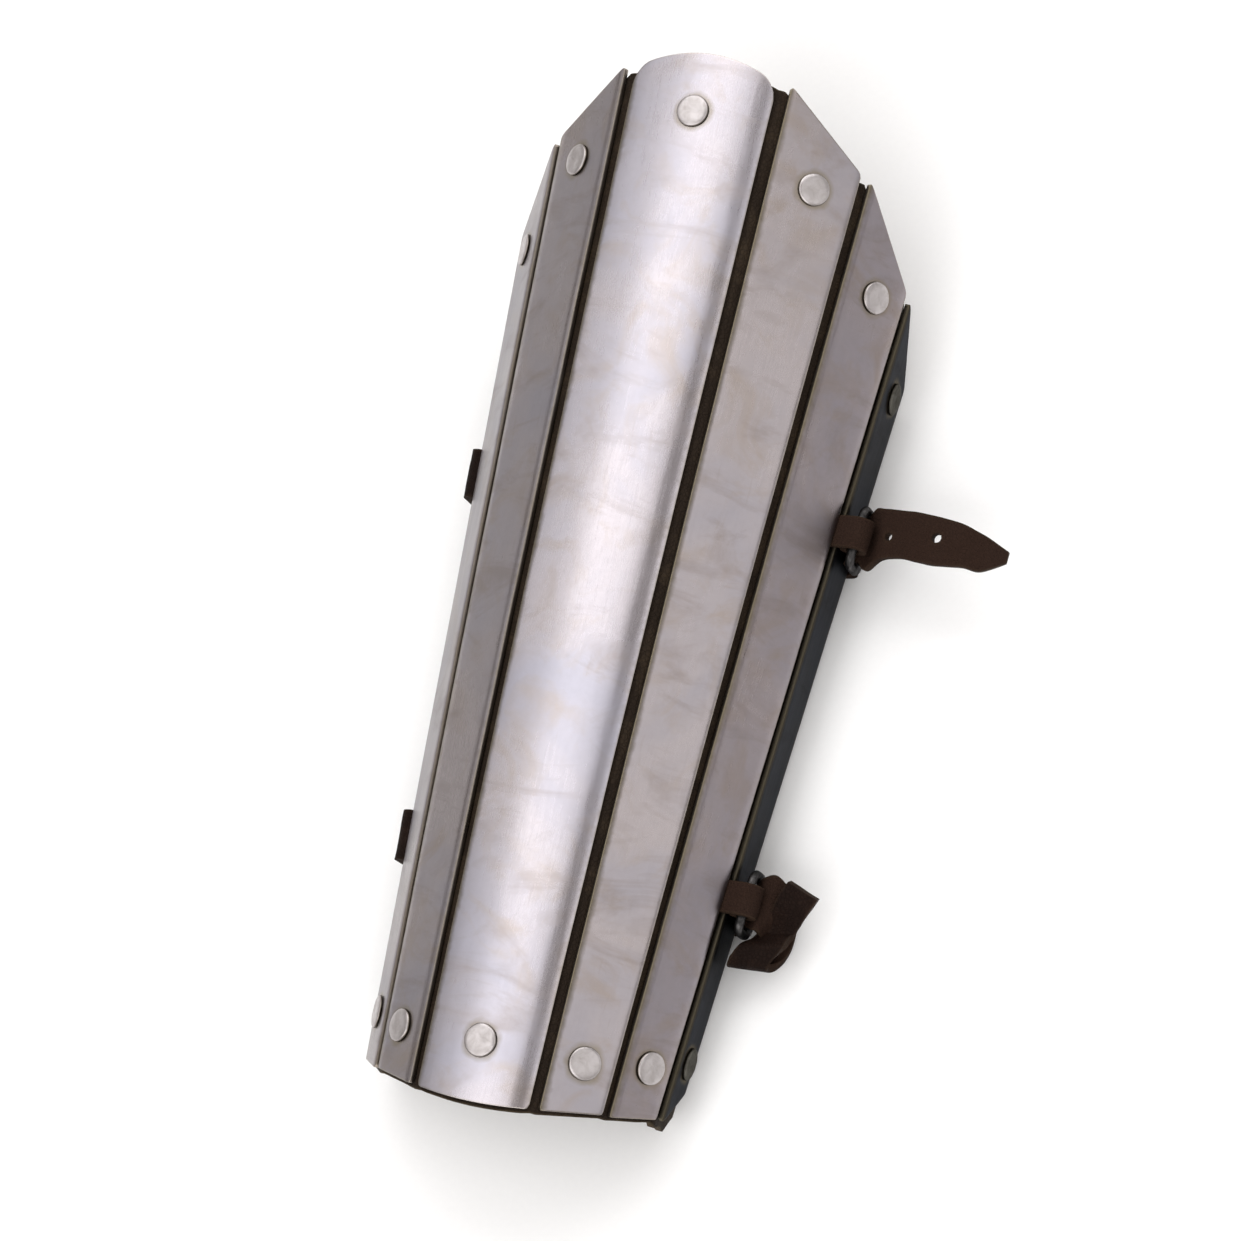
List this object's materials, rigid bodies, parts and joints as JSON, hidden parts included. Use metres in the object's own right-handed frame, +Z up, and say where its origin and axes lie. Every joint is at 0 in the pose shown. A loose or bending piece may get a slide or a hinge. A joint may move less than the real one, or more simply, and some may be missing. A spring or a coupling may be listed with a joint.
{
  "type": "splinted bracer",
  "caption": "Forearm guard of steel splints riveted to a bent leather backing, with two leather straps fastened through oval rings.",
  "frame": {"origin": "on the ground under the middle of the upper strap, in the splints' plane of symmetry", "axes": "+Y from the wrist end to the elbow end, +Z up from the surface it lies on, +X to the side of the rings"},
  "size_m": [0.1404, 0.2567, 0.0616],
  "materials": {
    "splint_steel": "satin, faint stains and fine scratches",
    "rivet_steel": "satin, hammered, brown grime at the rims",
    "ring_iron": "dark, worn",
    "backing_leather": "dark brown, matt",
    "strap_leather": "dark brown, worn"
  },
  "bodies": {
    "root": {"centre_splint": "splint_steel", "splint_1_left": "splint_steel", "splint_1_right": "splint_steel", "splint_2_left": "splint_steel", "splint_2_right": "splint_steel", "splint_3_left": "splint_steel", "splint_3_right": "splint_steel", "backing": "backing_leather", "rivet_centre_wrist": "rivet_steel", "rivet_centre_elbow": "rivet_steel", "rivet_1_left_wrist": "rivet_steel", "rivet_1_left_elbow": "rivet_steel", "rivet_1_right_wrist": "rivet_steel", "rivet_1_right_elbow": "rivet_steel", "rivet_2_left_wrist": "rivet_steel", "rivet_2_left_elbow": "rivet_steel", "rivet_2_right_wrist": "rivet_steel", "rivet_2_right_elbow": "rivet_steel", "rivet_3_left_wrist": "rivet_steel", "rivet_3_left_elbow": "rivet_steel", "rivet_3_right_wrist": "rivet_steel", "rivet_3_right_elbow": "rivet_steel", "strap_lower": "strap_leather", "chape_lower": "strap_leather", "ring_lower": "ring_iron", "strap_upper": "strap_leather", "chape_upper": "strap_leather", "ring_upper": "ring_iron"}
  },
  "joints": []
}
